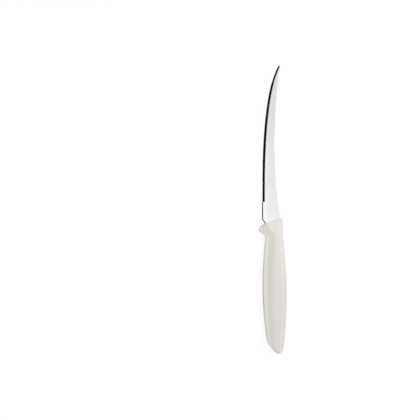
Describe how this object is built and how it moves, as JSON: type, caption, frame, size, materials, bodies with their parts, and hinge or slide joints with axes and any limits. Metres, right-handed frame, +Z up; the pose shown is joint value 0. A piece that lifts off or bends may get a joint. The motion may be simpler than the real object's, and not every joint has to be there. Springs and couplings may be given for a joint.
{
  "type": "tomato knife",
  "caption": "Tomato knife lying on its side: thin upswept blade with a finely serrated ground edge, and a moulded handle with a finger guard and finger scoops.",
  "frame": {"origin": "on the surface the knife lies on, under the middle of its box", "axes": "+Y from the butt of the handle to the tip, +X from the cutting edge to the back, +Z up, square to the blade's flat"},
  "size_m": [0.023, 0.2368, 0.0135],
  "materials": {
    "steel": "fine satin, ground along the blade, darker coarse-ground bevel",
    "plastic": "warm light grey, semi-matt moulded polypropylene"
  },
  "bodies": {
    "root": {"blade": "steel", "handle": "plastic"}
  },
  "joints": []
}
